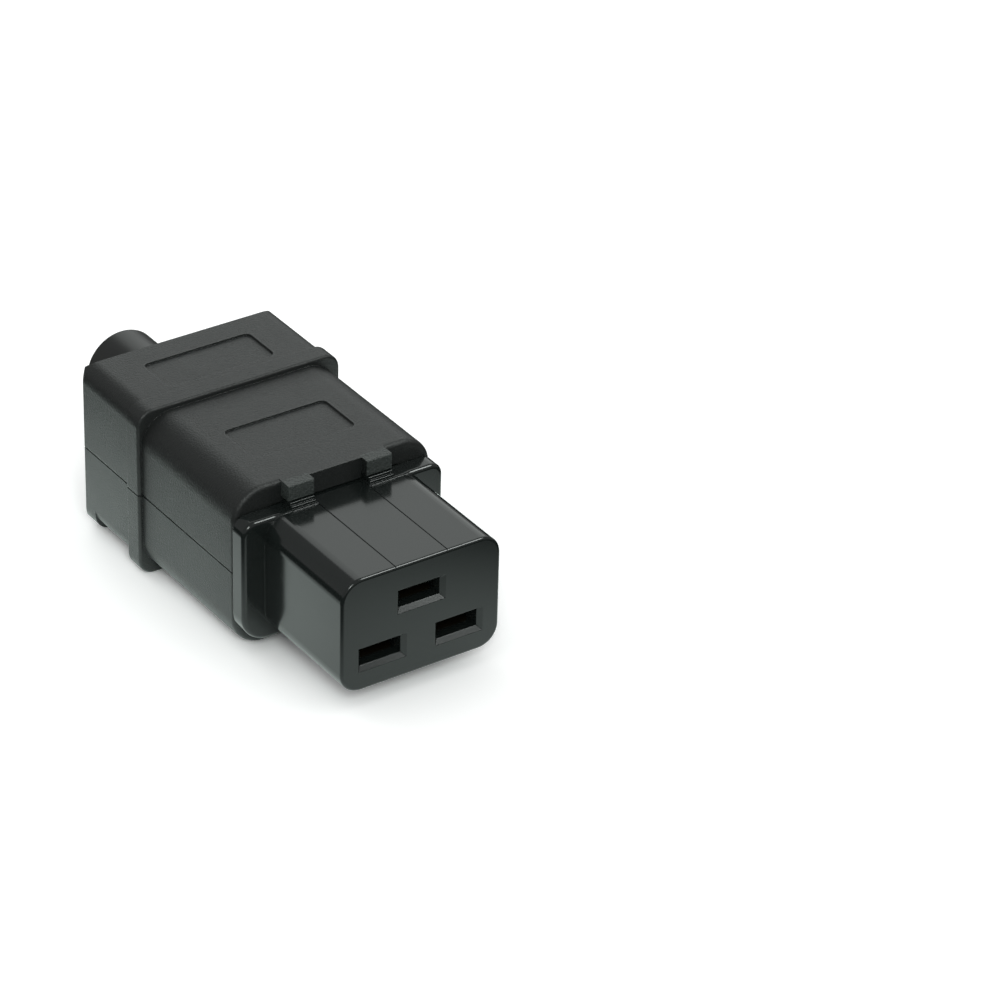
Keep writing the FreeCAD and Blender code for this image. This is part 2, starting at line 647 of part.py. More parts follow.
def contact_space(body, name, x, z):
    """One blade slot with its lead-in, the chamber behind it, the terminal bay and the screw's hole."""
    left, right = spread(x, "dims.slot_width")
    bottom, top = spread(z, "dims.slot_height")
    wall_end = f"({TIP} + dims.slot_face_wall)"
    prism(body, "Pocket", f"{name}_slot", "Y", TIP, wall_end, rectangle(left, right, bottom, top))
    reach = value("dims.slot_width / 2") + SAME_PLACE
    rise = value("dims.slot_height / 2") + SAME_PLACE

    def mouth(point):
        beside = abs(point.x - value(x)) < reach and abs(point.z - value(z)) < rise
        return near(point.y, value(TIP)) and beside

    dress(body, "Chamfer", f"{name}_lead_in", "dims.slot_lead_in", mouth)
    floor = f"({z} - {CONTACT_HALF})"
    left, right = spread(x, "dims.slot_width + 2 * dims.fit_clearance")
    chamber = rectangle(left, right, floor, f"({z} + {CONTACT_HALF} + dims.fit_clearance)")
    prism(body, "Pocket", f"{name}_chamber", "Y", wall_end, BLOCK_REAR, chamber)
    left, right = spread(x, f"{TAIL_WIDTH} + 2 * dims.fit_clearance")
    bay = rectangle(left, right, BAY_FRONT, BLOCK_REAR)
    prism(body, "Pocket", f"{name}_bay", "Z", floor, NOSE_TOP, bay)
    tip = f"({terminal_seat(z)} - dims.terminal_screw_length - dims.thread_run_out)"
    hole = circles("(dims.terminal_screw_radius + dims.fit_clearance)", (x, TERMINAL_Y))
    prism(body, "Pocket", f"{name}_screw_hole", "Z", tip, floor, hole)


def terminal_seat(z):
    """The level on which the head of a terminal screw sits, on top of its clamp plate."""
    return f"({z} - {CONTACT_HALF} + dims.contact_sheet + dims.wire_space + dims.clamp_plate_thickness)"


# --- contacts, clamp, sleeve and screws ------------------------------------------------------------


def make_contact(name, x, z):
    """A blade contact folded from strip, with its flat terminal tail."""
    body = new_body(f"{name}_contact")
    low, high = f"({z} - {CONTACT_HALF})", f"({z} + {CONTACT_HALF})"
    jaw_low, jaw_high = spread(z, "dims.contact_mouth")
    throat = f"({CONTACT_FRONT} + dims.contact_lead_in)"
    heel = f"({CONTACT_REAR} - dims.contact_sheet)"
    profile = polygon(
        (CONTACT_FRONT, low), (CONTACT_REAR, low), (CONTACT_REAR, high), (CONTACT_FRONT, high),
        (CONTACT_FRONT, f"({high} - dims.contact_lip)"), (throat, jaw_high), (heel, jaw_high),
        (heel, jaw_low), (throat, jaw_low), (CONTACT_FRONT, f"({low} + dims.contact_lip)"),
    )
    left, right = spread(x, CONTACT_WIDTH)
    prism(body, "Pad", "fold", "X", left, right, profile)

    def bend(point):
        return near(point.y, value(CONTACT_REAR)) and near(point.z, value(high))

    dress(body, "Fillet", "bend", "dims.contact_sheet", bend)
    left, right = spread(x, TAIL_WIDTH)
    tail = rectangle(left, right, heel, f"({BLOCK_REAR} - dims.tail_setback)")
    prism(body, "Pad", "tail", "Z", low, f"({low} + dims.contact_sheet)", tail)
    thread = circles("dims.terminal_screw_radius", (x, TERMINAL_Y))
    prism(body, "Pocket", "thread", "Z", low, f"({low} + dims.contact_sheet)", thread)
    return body


def make_clamp_plate(name, x, z):
    """The plate that presses a wire on the tail of a contact."""
    body = new_body(f"{name}_clamp_plate")
    left, right = spread(x, TAIL_WIDTH)
    front, rear = spread(TERMINAL_Y, "dims.clamp_plate_length")
    top = terminal_seat(z)
    bottom = f"({top} - dims.clamp_plate_thickness)"
    prism(body, "Pad", "plate", "Z", bottom, top, rectangle(left, right, front, rear))
    hole = circles("(dims.terminal_screw_radius + dims.fit_clearance)", (x, TERMINAL_Y))
    prism(body, "Pocket", "hole", "Z", bottom, top, hole)
    return body


def make_clamp_bar():
    """The arched bar over the cord, on two shoulders for its screws."""
    body = new_body("cord_clamp_bar")
    bottom = f"({PARTING} + dims.clamp_gap)"
    shoulder = rectangle(f"-{BAR_HALF}", BAR_HALF, bottom, CLAMP_SEAT)
    prism(body, "Pad", "shoulders", "Y", CLAMP_FRONT, CLAMP_REAR, shoulder)
    top = f"({PARTING} + dims.clamp_bore + dims.clamp_bar_thickness)"
    crown = rectangle(f"-{CROWN_HALF}", CROWN_HALF, bottom, top)
    prism(body, "Pad", "crown", "Y", CLAMP_FRONT, CLAMP_REAR, crown)
    arch = circles("dims.clamp_bore", (MIDDLE, PARTING))
    prism(body, "Pocket", "arch", "Y", CLAMP_FRONT, CLAMP_REAR, arch)
    holes = circles("(dims.clamp_screw_radius + dims.fit_clearance)", *CLAMP_HOLES)
    prism(body, "Pocket", "holes", "Z", bottom, CLAMP_SEAT, holes)
    return body


def make_sleeve():
    """The cable sleeve, turned about the cord's axis, with the rim that sits in the housing's groove."""
    body = new_body("cable_sleeve")
    start = f"({REAR_WALL_FRONT} + dims.fit_clearance)"
    flare_end = f"({REAR_FACE} + dims.sleeve_flare_length)"
    run_out = f"({flare_end} + dims.sleeve_flare_radius - dims.sleeve_radius)"
    bore_end = f"({SLEEVE_END} - dims.sleeve_bore_depth)"
    outline = (
        ("dims.sleeve_inner_bore", start), ("dims.sleeve_radius", start),
        ("dims.sleeve_radius", GROOVE_FRONT), ("dims.sleeve_rim_radius", GROOVE_FRONT),
        ("dims.sleeve_rim_radius", GROOVE_REAR), ("dims.sleeve_radius", GROOVE_REAR),
        ("dims.sleeve_radius", REAR_FACE), ("dims.sleeve_flare_radius", REAR_FACE),
        ("dims.sleeve_flare_radius", flare_end), ("dims.sleeve_radius", run_out),
        ("dims.sleeve_radius", SLEEVE_END), ("dims.sleeve_bore", SLEEVE_END),
        ("dims.sleeve_bore", bore_end), ("dims.sleeve_inner_bore", bore_end),
    )
    sketch = sketch_on(body, "wall", "Z", PARTING, polygon(*outline))
    turned = body.newObject("PartDesign::Revolution", "wall")
    turned.Profile = sketch
    turned.ReferenceAxis = (sketch, ["V_Axis"])
    turned.Angle = 360
    document.recompute()

    def outer_end(point):
        radius = math.hypot(point.x, point.z - value(PARTING))
        return near(point.y, value(SLEEVE_END)) and near(radius, value("dims.sleeve_radius"))

    dress(body, "Fillet", "end_round", "dims.sleeve_end_round", outer_end)
    return body


def make_screw(name, kind, x, y, seat, heads_up):
    """A cross-recessed screw whose head sits on a level, above it or hanging below it."""
    body = new_body(name)
    head_radius = f"dims.{kind}_head_radius"
    if heads_up:
        head = (seat, f"({seat} + dims.{kind}_head_height)")
        shank = (f"({seat} - dims.{kind}_screw_length)", seat)
        recess = (f"({head[1]} - dims.recess_depth)", head[1])
        point, crown = shank[0], head[1]
    else:
        head = (f"({seat} - dims.{kind}_head_height)", seat)
        shank = (seat, f"({seat} + dims.{kind}_screw_length)")
        recess = (head[0], f"({head[0]} + dims.recess_depth)")
        point, crown = shank[1], head[0]
    prism(body, "Pad", "head", "Z", *head, circles(head_radius, (x, y)))
    dress(body, "Chamfer", "head_rim", "dims.screw_head_chamfer", lambda p: near(p.z, value(crown)))
    prism(body, "Pad", "shank", "Z", *shank, circles(f"dims.{kind}_screw_radius", (x, y)))
    dress(body, "Chamfer", "point", "dims.screw_point_chamfer", lambda p: near(p.z, value(point)))
    reach = f"(2 * dims.recess_share * {head_radius})"
    for arm, spans in (("across", (reach, "dims.recess_width")), ("along", ("dims.recess_width", reach))):
        left, right = spread(x, spans[0])
        front, rear = spread(y, spans[1])
        prism(body, "Pocket", f"recess_{arm}", "Z", *recess, rectangle(left, right, front, rear))
    return body


def group(name, bodies):
    """Several like bodies as one piece of separate solids."""
    compound = document.addObject("Part::Compound", name)
    compound.Label = name
    compound.Links = bodies
    return compound


def build():
    """Build every piece in its place and return the pieces that are exported."""
    pieces = [make_upper_shell(), make_lower_shell(), make_insert(), make_sleeve(), make_clamp_bar()]
    pieces += [make_contact(*pole) for pole in POLES]
    pieces += [make_clamp_plate(*pole) for pole in POLES]
    terminal = [
        make_screw(f"{name}_terminal_screw", "terminal", x, TERMINAL_Y, terminal_seat(z), True)
        for name, x, z in POLES
    ]
    clamp = [
        make_screw(f"clamp_screw_{number}", "clamp", x, y, CLAMP_SEAT, True)
        for number, (x, y) in enumerate(CLAMP_HOLES, start=1)
    ]
    housing = [
        make_screw(f"housing_screw_{number}", "housing", x, y, SEAT_Z, False)
        for number, (x, y, _) in enumerate(HOLES, start=1)
    ]
    pieces.append(group("terminal_screws", terminal))
    pieces.append(group("cord_clamp_screws", clamp))
    pieces.append(group("housing_screws", housing))
    document.recompute()
    return pieces


def check(pieces):
    """Stop if any object failed to compute or any piece has no valid shape."""
    for item in document.Objects:
        if "Invalid" in item.State or "Error" in item.State:
            raise RuntimeError(f"{item.Name} did not compute: {item.State}")
    for piece in pieces:
        if piece.Shape.isNull() or not piece.Shape.isValid():
            raise RuntimeError(f"{piece.Label} has no valid shape")


def export(pieces):
    """Write one STEP file for each piece, named after its label."""
    os.makedirs("parts", exist_ok=True)
    for piece in pieces:
        piece.Shape.exportStep(f"parts/{piece.Label}.step")


finished = build()
check(finished)
export(finished)
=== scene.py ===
"""A rewireable power cord connector with a three-slot nose, dressed and lit for a studio picture.

Everything is in metres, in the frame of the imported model: +Z up, the mating face towards -Y and
the cable sleeve towards +Y. The connector rests on its collar and on the front edge of its
underside, so the floor is laid through those two and the connector itself stays level.
"""

import logging
import math
from dataclasses import dataclass
from enum import Enum
from functools import cache
from typing import Any, Callable, Iterable

import bpy
from mathutils import Matrix, Vector


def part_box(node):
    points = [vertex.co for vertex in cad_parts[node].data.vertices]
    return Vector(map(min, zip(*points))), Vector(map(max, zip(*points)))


LOG = logging.getLogger("connector")
MM = 0.001
WHITE = (1.0, 1.0, 1.0, 1.0)

# The sRGB curve: a straight foot up to the knee, and a power above it.
SRGB_KNEE = 0.04045
SRGB_FOOT = 12.92
SRGB_OFFSET = 0.055
SRGB_POWER = 2.4

# How many ever finer layers a noise pattern has, and how strong each layer of a grain is.
BROAD_LAYERS = 2.0
FINE_LAYERS = 3.0
GRAIN_FALLOFF = 0.6

BEVEL_SAMPLES = 6

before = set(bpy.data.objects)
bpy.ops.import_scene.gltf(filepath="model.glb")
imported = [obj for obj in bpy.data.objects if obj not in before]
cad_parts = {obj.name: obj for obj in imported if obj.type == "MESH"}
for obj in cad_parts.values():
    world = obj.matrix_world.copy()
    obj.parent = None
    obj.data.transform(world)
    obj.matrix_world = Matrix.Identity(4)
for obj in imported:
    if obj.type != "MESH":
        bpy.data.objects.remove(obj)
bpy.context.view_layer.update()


def linear(code: str) -> tuple[float, float, float, float]:
    """Turn an sRGB hex colour into the linear colour that a shader takes.

    Args:
        code: Six hexadecimal digits, with or without a leading hash.

    Returns:
        Linear red, green, blue and an alpha of 1.
    """
    digits = code.lstrip("#")
    channels = [int(digits[start : start + 2], 16) / 255 for start in (0, 2, 4)]
    red, green, blue = (
        c / SRGB_FOOT
        if c <= SRGB_KNEE
        else ((c + SRGB_OFFSET) / (1 + SRGB_OFFSET)) ** SRGB_POWER
        for c in channels
    )
    return red, green, blue, 1.0


def add(
    tree: bpy.types.NodeTree,
    kind: str,
    settings: dict[str, Any] | None = None,
    *inputs: Any,
    **named: Any,
) -> bpy.types.Node:
    """Add a node, set it up and fill its inputs, each with a value, a socket or a node.

    Args:
        tree: The node tree that it goes into.
        kind: The node's type name, without the ShaderNode prefix.
        settings: Attributes of the node to set, such as its operation.
        *inputs: What goes into its first inputs, in their order.
        **named: What goes into inputs by name, with underscores for spaces.

    Returns:
        The new node.
    """
    node = tree.nodes.new(f"ShaderNode{kind}")
    for name, setting in (settings or {}).items():
        setattr(node, name, setting)
    filled = list(zip(node.inputs, inputs))
    filled += [(node.inputs[name.replace("_", " ")], source) for name, source in named.items()]
    for socket, source in filled:
        if isinstance(source, bpy.types.Node):
            source = source.outputs[0]
        if isinstance(source, bpy.types.NodeSocket):
            tree.links.new(source, socket)
        else:
            socket.default_value = source
    return node


def new_material(name: str) -> bpy.types.Material:
    """Make a material with an empty node tree.

    Args:
        name: The material's name.

    Returns:
        The new material.
    """
    material = bpy.data.materials.new(name)
    material.use_nodes = True
    material.node_tree.nodes.clear()
    return material


Mask = Callable[[bpy.types.NodeTree], bpy.types.NodeSocket]


@dataclass(frozen=True)
class MouldedPlastic:
    """Moulded thermoplastic, whose skin is a copy of the mould's own surface.

    Attributes:
        name: What the material is and how its surface was made.
        colour: Its sRGB colour.
        roughness: The gloss of the skin.
        grain_size: The spacing of the mould's grain, in millimetres.
        grain_depth: How deep the grain is, in millimetres.
        ior: The index of refraction, which is that of most such resins.
        edge_round: How far the edges are rounded to the eye, in millimetres.
        flow_size: The spacing of the slow swell that shrinkage leaves, in millimetres.
        flow_depth: How deep that swell is, in millimetres.
        roughness_spread: How much the gloss changes from place to place.
        edge_polish: How much smoother handling has made the edges.
        edge_wear: How far from the edges it has done so, in millimetres.
        edge_turn: How sharply the polish starts where a face begins to turn.
        coarse_colour: The sRGB colour of the coarser places, paler as their grit scatters light.
        coarse_size: The spacing of the grit there, in millimetres.
        coarse_depth: How deep that grit is, in millimetres.
    """

    name: str
    colour: str
    roughness: float
    grain_size: float
    grain_depth: float
    ior: float = 1.5
    edge_round: float = 0.15
    flow_size: float = 7.0
    flow_depth: float = 0.006
    roughness_spread: float = 0.03
    edge_polish: float = 0.0
    edge_wear: float = 0.4
    edge_turn: float = 12.0
    coarse_colour: str = "#313634"
    coarse_size: float = 0.45
    coarse_depth: float = 0.3

    def material(self, coarse: Mask | None = None) -> bpy.types.Material:
        """Build the material.

        Args:
            coarse: What marks the places that the mould leaves coarser, if there are any.

        Returns:
            A material whose grain and swell are laid out in real millimetres.
        """
        material = new_material(self.name)
        tree = material.node_tree
        where = add(tree, "TexCoord").outputs["Object"]
        broad = {"Scale": 1 / (self.flow_size * MM), "Detail": BROAD_LAYERS}
        fine = {"Scale": 1 / (self.grain_size * MM), "Detail": FINE_LAYERS}
        flow = add(tree, "TexNoise", Vector=where, **broad)
        grain = add(tree, "TexNoise", Vector=where, **fine, Roughness=GRAIN_FALLOFF)
        rounded = add(tree, "Bevel", {"samples": BEVEL_SAMPLES}, Radius=self.edge_round * MM)
        swell = add(tree, "Bump", Height=flow, Distance=self.flow_depth * MM, Normal=rounded)
        skin = add(tree, "Bump", Height=grain, Distance=self.grain_depth * MM, Normal=swell)
        look = {"Base_Color": linear(self.colour), "IOR": self.ior}
        shader = add(tree, "BsdfPrincipled", **look, Roughness=self.gloss(tree, flow))
        if coarse:
            skin = self.roughen(tree, coarse(tree), skin, shader)
        tree.links.new(skin.outputs["Normal"], shader.inputs["Normal"])
        add(tree, "OutputMaterial", Surface=shader)
        return material

    def gloss(self, tree: bpy.types.NodeTree, flow: bpy.types.Node) -> bpy.types.Node:
        """Vary the roughness slowly along the flow of the plastic, and less it on handled edges.

        Args:
            tree: The material's node tree.
            flow: The pattern of the flow.

        Returns:
            A node that gives the roughness.
        """
        least = self.roughness - self.roughness_spread
        spread = 2 * self.roughness_spread
        rough = add(tree, "Math", {"operation": "MULTIPLY_ADD"}, flow, spread, least)
        if not self.edge_polish:
            return rough
        worn = add(tree, "Bevel", {"samples": BEVEL_SAMPLES}, Radius=self.edge_wear * MM)
        face = add(tree, "NewGeometry").outputs["Normal"]
        same = add(tree, "VectorMath", {"operation": "DOT_PRODUCT"}, worn, face).outputs["Value"]
        turn = add(tree, "Math", {"operation": "SUBTRACT"}, 1.0, same)
        clamped = {"operation": "MULTIPLY", "use_clamp": True}
        edge = add(tree, "Math", clamped, turn, self.edge_turn)
        polish = add(tree, "Math", {"operation": "MULTIPLY"}, edge, self.edge_polish)
        return add(tree, "Math", {"operation": "SUBTRACT"}, rough, polish)

    def roughen(
        self,
        tree: bpy.types.NodeTree,
        place: bpy.types.NodeSocket,
        skin: bpy.types.Node,
        shader: bpy.types.Node,
    ) -> bpy.types.Node:
        """Lay grit and a paler colour on the coarser places.

        Args:
            tree: The material's node tree.
            place: A socket that is 1 on those places and 0 elsewhere.
            skin: The bump that the grit is laid on.
            shader: The shader that takes the colour.

        Returns:
            The bump with the grit.
        """
        where = add(tree, "TexCoord").outputs["Object"]
        broad = {"Scale": 1 / (self.coarse_size * MM), "Detail": BROAD_LAYERS}
        grit = add(tree, "TexNoise", Vector=where, **broad)
        colours = {"A": linear(self.colour), "B": linear(self.coarse_colour)}
        tone = add(tree, "Mix", {"data_type": "RGBA"}, Factor=place, **colours)
        tree.links.new(tone.outputs["Result"], shader.inputs["Base Color"])
        depth = self.coarse_depth * MM
        return add(tree, "Bump", Height=grit, Distance=depth, Strength=place, Normal=skin)


@dataclass(frozen=True)
class WorkedMetal:
    """Metal with a worked surface.

    Attributes:
        name: What the metal is and how its surface was made.
        colour: Its sRGB colour.
        roughness: The roughness of the surface.
        mark_size: The spacing of the fine marks, in millimetres.
        stretch: How much longer than wide the marks are.
        spread: How much the roughness changes from mark to mark.
    """

    name: str
    colour: str
    roughness: float
    mark_size: float
    stretch: float = 1.0
    spread: float = 0.08

    @cache
    def material(self) -> bpy.types.Material:
        """Build the material, once for all the pieces that are made of it.

        Returns:
            A metal whose roughness follows fine marks along Y.
        """
        material = new_material(self.name)
        tree = material.node_tree
        where = add(tree, "TexCoord").outputs["Object"]
        along = add(tree, "Mapping", Vector=where, Scale=(1.0, 1.0 / self.stretch, 1.0))
        fine = {"Scale": 1 / (self.mark_size * MM), "Detail": FINE_LAYERS}
        marks = add(tree, "TexNoise", Vector=along, **fine)
        least = self.roughness - self.spread
        rough = add(tree, "Math", {"operation": "MULTIPLY_ADD"}, marks, 2 * self.spread, least)
        look = {"Base_Color": linear(self.colour), "Metallic": 1.0}
        shader = add(tree, "BsdfPrincipled", **look, Roughness=rough)
        add(tree, "OutputMaterial", Surface=shader)
        return material


# Filled nylon from a spark-eroded mould: a fine even grain, which spreads the light and dulls
# it, and edges that handling has polished. The real grain is about 0.1 mm apart, and is drawn
# three times as coarse so that it shows.
HOUSING = MouldedPlastic(
    name="Filled_nylon_from_spark_eroded_mould",
    colour="#191c1b",
    roughness=0.42,
    grain_size=0.3,
    grain_depth=0.1,
    edge_polish=0.2,
)
# The same resin from a polished mould: a clear reflection, and bright lines along the edges.
INSERT = MouldedPlastic(
    name="Filled_nylon_from_polished_mould",
    colour="#151918",
    roughness=0.15,
    grain_size=0.5,
    grain_depth=0.0004,
    edge_round=0.1,
    flow_size=9.0,
    flow_depth=0.003,
)
# The same resin from a milled mould: a plain half-matt piece, hidden in the shells.
CLAMP = MouldedPlastic(
    name="Filled_nylon_from_milled_mould",
    colour="#191c1b",
    roughness=0.4,
    grain_size=0.3,
    grain_depth=0.02,
)
# A softer grade of the resin from a turned mould: a low sheen round the tube.
SLEEVE = MouldedPlastic(
    name="Flexible_polymer_from_turned_mould",
    colour="#191b1a",
    roughness=0.36,
    grain_size=0.4,
    grain_depth=0.004,
)
# Tarnished brass strip, blanked and folded: a dull brown deep in the slots. Its rolling marks
# are far finer than these, which are as coarse as they need to be to show.
BRASS = WorkedMetal(
    name="Tarnished_rolled_brass_strip",
    colour="#40382a",
    roughness=0.45,
    mark_size=0.4,
    stretch=6.0,
)
# Cold-headed steel, zinc plated and passivated: a bright, slightly blue grey. The crystals of
# its plating are far finer than these marks, which are as coarse as they need to be to show.
STEEL = WorkedMetal(
    name="Zinc_plated_cold_headed_steel",
    colour="#b9bcbf",
    roughness=0.32,
    mark_size=0.3,
)


def dress(material: bpy.types.Material, names: Iterable[str]) -> None:
    """Give CAD nodes one material.

    Args:
        material: The material.
        names: The nodes' names.
    """
    for name in names:
        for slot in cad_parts[name].material_slots:
            slot.material = material
        LOG.info("%s is dressed in %s", name, material.name)


@dataclass
class Housing:
    """The two shells and the screws that hold them together.

    Attributes:
        shells: The two shells' nodes.
        screws: The screws' node.
        tongue_inner: How far from the middle plane the tongues start, in millimetres.
        tongue_reach: How far the tongues stand out of the front wall, in millimetres.
        slope: The direction in which the slope above the sleeve faces.
        slope_match: How closely a face looks that way to count as the slope.
    """

    shells: tuple[str, ...] = ("upper_shell", "lower_shell")
    screws: tuple[str, ...] = ("housing_screws",)
    tongue_inner: float = 4.72
    tongue_reach: float = 2.15
    slope: tuple[float, float, float] = (0.0, 0.7071, 0.7071)
    slope_match: float = 0.985

    def build(self) -> None:
        """Dress the shells and their screws."""
        dress(HOUSING.material(self.coarse_places), self.shells)
        dress(STEEL.material(), self.screws)

    def coarse_places(self, tree: bpy.types.NodeTree) -> bpy.types.NodeSocket:
        """Mark the tongues and the slope above the sleeve, which the mould leaves coarse.

        Args:
            tree: The node tree of the shells' material.

        Returns:
            A socket that is 1 on those places and 0 elsewhere.
        """
        coordinates = add(tree, "TexCoord").outputs
        where = add(tree, "SeparateXYZ", Vector=coordinates["Object"]).outputs
        inner = self.tongue_inner * MM
        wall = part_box("upper_shell")[0][1] + self.tongue_reach * MM
        off = add(tree, "Math", {"operation": "ABSOLUTE"}, where["X"])
        aside = add(tree, "Math", {"operation": "GREATER_THAN"}, off, inner)
        ahead = add(tree, "Math", {"operation": "LESS_THAN"}, where["Y"], wall)
        tongue = add(tree, "Math", {"operation": "MULTIPLY"}, aside, ahead)
        dot = {"operation": "DOT_PRODUCT"}
        facing = add(tree, "VectorMath", dot, coordinates["Normal"], self.slope).outputs["Value"]
        slope = add(tree, "Math", {"operation": "GREATER_THAN"}, facing, self.slope_match)
        return add(tree, "Math", {"operation": "MAXIMUM"}, tongue, slope).outputs[0]


@dataclass
class Insert:
    """The moulded nose with its contacts and terminals.

    Attributes:
        nose: The nose's node.
        contacts: The contacts' nodes.
        terminals: The nodes of the clamp plates and their screws.
    """

    nose: tuple[str, ...] = ("nose_insert",)
    contacts: tuple[str, ...] = ("line_contact", "neutral_contact", "earth_contact")
    terminals: tuple[str, ...] = (
        "line_clamp_plate",
        "neutral_clamp_plate",
        "earth_clamp_plate",
        "terminal_screws",
    )

    def build(self) -> None:
        """Dress the nose, the contacts and the terminals."""
        dress(INSERT.material(), self.nose)
        dress(BRASS.material(), self.contacts)
        dress(STEEL.material(), self.terminals)


@dataclass
class CordEntry:
    """The cable sleeve and the clamp behind it.

    Attributes:
        sleeve: The sleeve's node.
        bar: The clamp bar's node.
        screws: The clamp screws' node.
    """

    sleeve: tuple[str, ...] = ("cable_sleeve",)
    bar: tuple[str, ...] = ("cord_clamp_bar",)
    screws: tuple[str, ...] = ("cord_clamp_screws",)

    def build(self) -> None:
        """Dress the sleeve, the clamp bar and its screws."""
        dress(SLEEVE.material(), self.sleeve)
        dress(CLAMP.material(), self.bar)
        dress(STEEL.material(), self.screws)


class Ray(Enum):
    """A kind of ray that a surface or the world can show something else to."""

    GLOSSY = "Is Glossy Ray"
    CAMERA = "Is Camera Ray"


def by_ray(
    tree: bpy.types.NodeTree, plain: bpy.types.Node, others: dict[Ray, bpy.types.Node]
) -> bpy.types.Node:
    """Show another shader to some kinds of ray.

    Args:
        tree: The node tree.
        plain: The shader that all other rays meet.
        others: The shader that each of those kinds meets.

    Returns:
        A node that gives the whole shader.
    """
    rays = add(tree, "LightPath").outputs
    for ray, shader in others.items():
        plain = add(tree, "MixShader", None, rays[ray.value], plain, shader)
    return plain


@dataclass
class Floor:
    """The pale board that the connector stands on.

    Attributes:
        size: The side of the floor, in metres.
        colour: The sRGB colour of the floor as it lights the connector.
        white: How bright the floor's colour is where it is seen.
        pool_white: How bright its reflection is in the middle of the painted pool of light.
        pool_colour: The sRGB colour of the painted pool, a faint green like that of a thick white
            sheet.
        pool_middle: Where the pool's middle is along X and Y, in millimetres.
        pool_reach: How far the pool reaches along X and Y, in millimetres.
        low: How far above the ground the collar's lowest points are at most, in millimetres.
        fore: How far behind the foremost point the front edge's points are at most, in
            millimetres.
    """

    size: float = 6.0
    colour: str = "#e6e6e6"
    white: float = 1.2
    pool_white: float = 2.35
    pool_colour: str = "#f4fffb"
    pool_middle: tuple[float, float] = (6.0, 18.0)
    pool_reach: tuple[float, float] = (60.0, 112.0)
    low: float = 0.05
    fore: float = 1.0

    def contact_line(self) -> tuple[Vector, Vector]:
        """Find the two places that the connector rests on.

        Returns:
            A point on the collar's underside, and one on the front edge of the lower shell's.
        """
        vertices = [vertex.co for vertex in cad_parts["lower_shell"].data.vertices]
        front = min(v.y for v in vertices)
        collar = min((v for v in vertices if v.z < self.low * MM), key=lambda v: v.y)
        edge = min((v for v in vertices if v.y < front + self.fore * MM), key=lambda v: v.z)
        return Vector((0.0, collar.y, collar.z)), Vector((0.0, edge.y, edge.z))

    def build(self) -> None:
        """Lay a plane under the collar and the front edge."""
        collar, edge = self.contact_line()
        slope = math.atan2(edge.z - collar.z, collar.y - edge.y)
        mesh = bpy.data.meshes.new("Floor")
        half = self.size / 2
        corners = [(-half, -half, 0), (half, -half, 0), (half, half, 0), (-half, half, 0)]
        mesh.from_pydata(corners, [], [(0, 1, 2, 3)])
        mesh.materials.append(self.material())
        floor = bpy.data.objects.new("Floor", mesh)
        floor.matrix_world = Matrix.Translation(collar) @ Matrix.Rotation(-slope, 4, "X")
        bpy.context.scene.collection.objects.link(floor)
        LOG.info("Floor slopes by %.2f degrees", math.degrees(slope))

    def material(self) -> bpy.types.Material:
        """Build a board that reads as white, keeps the shadow and is reflected as a pool of light.

        Returns:
            The board's material.
        """
        material = new_material("Matt_white_studio_board")
        tree = material.node_tree
        colour = linear(self.pool_colour)[:3]
        # The tint is a painted pool of light in the board's reflections, brightest near the
        # connector.
        tint = add(tree, "VectorMath", {"operation": "SCALE"}, colour, Scale=self.pool(tree))
        white = (self.white, self.white, self.white, 1.0)
        others = {
            Ray.GLOSSY: add(tree, "BsdfDiffuse", Color=tint),
            Ray.CAMERA: add(tree, "BsdfDiffuse", Color=white),
        }
        plain = add(tree, "BsdfDiffuse", Color=linear(self.colour))
        add(tree, "OutputMaterial", Surface=by_ray(tree, plain, others))
        return material

    # A painted pool of light: brightness laid on the board by place, which only reflections see.
    def pool(self, tree: bpy.types.NodeTree) -> bpy.types.Node:
        """Work out the floor's brightness in reflections, which fades away from the connector.

        Args:
            tree: The node tree of the floor's material.

        Returns:
            A node that gives the brightness.
        """
        place = add(tree, "TexCoord").outputs["Object"]
        where = add(tree, "SeparateXYZ", Vector=place).outputs
        squares = []
        for axis, middle, reach in zip("XY", self.pool_middle, self.pool_reach):
            aside = add(tree, "Math", {"operation": "SUBTRACT"}, where[axis], middle * MM)
            share = add(tree, "Math", {"operation": "DIVIDE"}, aside, reach * MM)
            squares.append(add(tree, "Math", {"operation": "MULTIPLY"}, share, share))
        total = add(tree, "Math", {"operation": "ADD"}, *squares)
        clamped = {"operation": "SUBTRACT", "use_clamp": True}
        left = add(tree, "Math", clamped, 1.0, total)
        return add(tree, "Math", {"operation": "MULTIPLY"}, left, self.pool_white)


@dataclass
class Surroundings:
    """The even light of the room.

    Attributes:
        ambient: The strength of the light from all round.
        reflected: Its strength in reflections, where the room is dim.
        seen: Its strength to the camera, where 1 is white.
    """

    ambient: float = 0.8
    reflected: float = 0.3
    seen: float = 1.0

    def build(self) -> None:
        """Surround the set with even light, white to the camera and dim in reflections."""
        world = bpy.data.worlds.new("White_studio")
        bpy.context.scene.world = world
        world.use_nodes = True
        tree = world.node_tree
        tree.nodes.clear()
        plain, dim, bright = (
            add(tree, "Background", Color=WHITE, Strength=strength)
            for strength in (self.ambient, self.reflected, self.seen)
        )
        whole = by_ray(tree, plain, {Ray.GLOSSY: dim, Ray.CAMERA: bright})
        add(tree, "OutputWorld", Surface=whole)
        LOG.info("The room gives %.1f, and %.1f in reflections", self.ambient, self.reflected)


class Reach(Enum):
    """What a lamp does, as whether it lights surfaces and whether they reflect it."""

    BOTH = (True, True)
    LIGHT = (True, False)
    REFLECTION = (False, True)


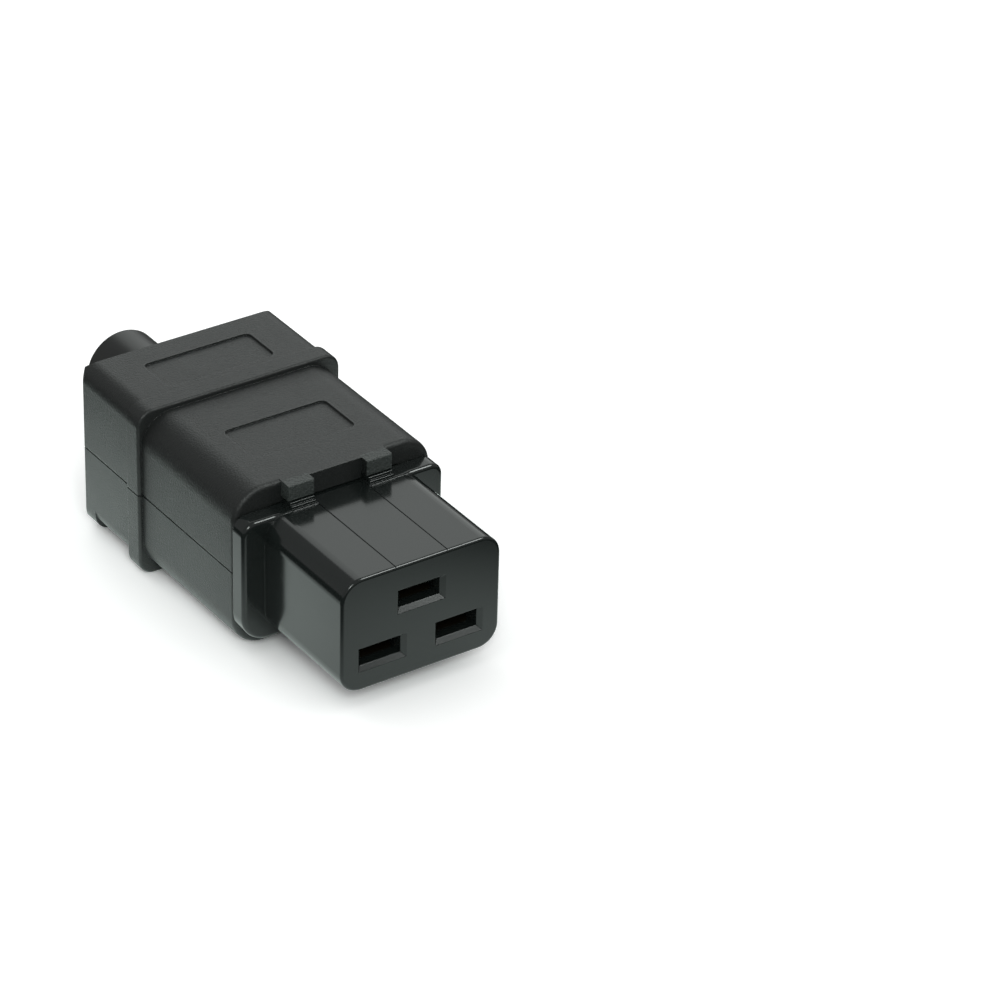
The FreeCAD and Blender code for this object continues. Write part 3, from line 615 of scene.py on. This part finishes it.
@dataclass
class SoftBox:
    """A square lamp that faces the connector.

    Attributes:
        name: The lamp's name.
        place: Where its middle is, in metres.
        size: Its side, in metres.
        power: Its power, in watts.
        reach: What it does.
        colour: Its sRGB colour.
    """

    name: str
    place: tuple[float, float, float]
    size: float
    power: float
    reach: Reach = Reach.BOTH
    colour: str = "#f8fffc"

    def build(self) -> None:
        """Hang the lamp."""
        data = bpy.data.lights.new(self.name, "AREA")
        data.shape = "SQUARE"
        data.size = self.size
        data.energy = self.power
        data.color = linear(self.colour)[:3]
        lamp = bpy.data.objects.new(self.name, data)
        lamp.location = self.place
        lamp.rotation_euler = (-Vector(self.place)).to_track_quat("-Z", "Y").to_euler()
        lamp.visible_diffuse, lamp.visible_glossy = self.reach.value
        bpy.context.scene.collection.objects.link(lamp)
        LOG.info("Lamp %s gives %.1f W", self.name, self.power)


# A large box behind casts the soft shadow, and a small one in front lifts the near faces. Two
# more are there for their reflections: a pale one on the upper faces and a small one along the
# edges.
LAMPS = (
    SoftBox("Back_box", (-0.1, 0.78, 0.62), size=0.8, power=2.0, reach=Reach.LIGHT),
    SoftBox("Front_box", (-0.33, -0.62, 0.57), size=0.26, power=2.6),
    SoftBox("Sheen_board", (0.52, 0.68, 0.52), size=0.8, power=2.0, reach=Reach.REFLECTION),
    SoftBox("Edge_light", (0.44, -0.335, 0.725), size=0.3, power=2.8, reach=Reach.REFLECTION),
)


@dataclass
class StudioCamera:
    """The camera, by the point it looks at and the angles it looks from.

    Attributes:
        target: The point in the middle of the frame, in millimetres.
        distance: How far the camera is from it, in millimetres.
        azimuth: The turn round the connector, in degrees, from -Y towards -X.
        elevation: The angle above the level, in degrees.
        roll: The turn about the line of sight, in degrees.
        lens: The focal length, in millimetres.
        sensor: The width of the sensor, in millimetres.
        nearest: The nearest distance that shows, in metres.
    """

    target: tuple[float, float, float] = (40.4, -6.4, 2.2)
    distance: float = 739.86
    azimuth: float = 35.18
    elevation: float = 31.48
    roll: float = 1.62
    lens: float = 165.7
    sensor: float = 36.0
    nearest: float = 0.01

    def build(self) -> None:
        """Place the camera and make it the scene's own."""
        data = bpy.data.cameras.new("Camera")
        data.lens = self.lens
        data.sensor_width = self.sensor
        data.clip_start = self.nearest
        camera = bpy.data.objects.new("Camera", data)
        turn, rise = math.radians(self.azimuth), math.radians(self.elevation)
        level = math.cos(rise)
        away = Vector((-math.sin(turn) * level, -math.cos(turn) * level, math.sin(rise)))
        place = Vector(self.target) * MM + away * self.distance * MM
        facing = (-away).to_track_quat("-Z", "Y").to_matrix().to_4x4()
        tilt = Matrix.Rotation(math.radians(self.roll), 4, "Z")
        camera.matrix_world = Matrix.Translation(place) @ facing @ tilt
        bpy.context.scene.collection.objects.link(camera)
        bpy.context.scene.camera = camera
        LOG.info("Camera stands at %s", tuple(round(c, 4) for c in place))


def main() -> None:
    """Build the connector's sub-assemblies, the studio and the camera."""
    logging.basicConfig(level=logging.INFO, format="%(name)s: %(message)s")
    bpy.context.scene.view_settings.view_transform = "Standard"
    connector = (Housing(), Insert(), CordEntry())
    studio = (Floor(), Surroundings(), *LAMPS, StudioCamera())
    for assembly in connector + studio:
        assembly.build()
        LOG.info("%s is done", type(assembly).__name__)


if __name__ == "__main__":
    main()
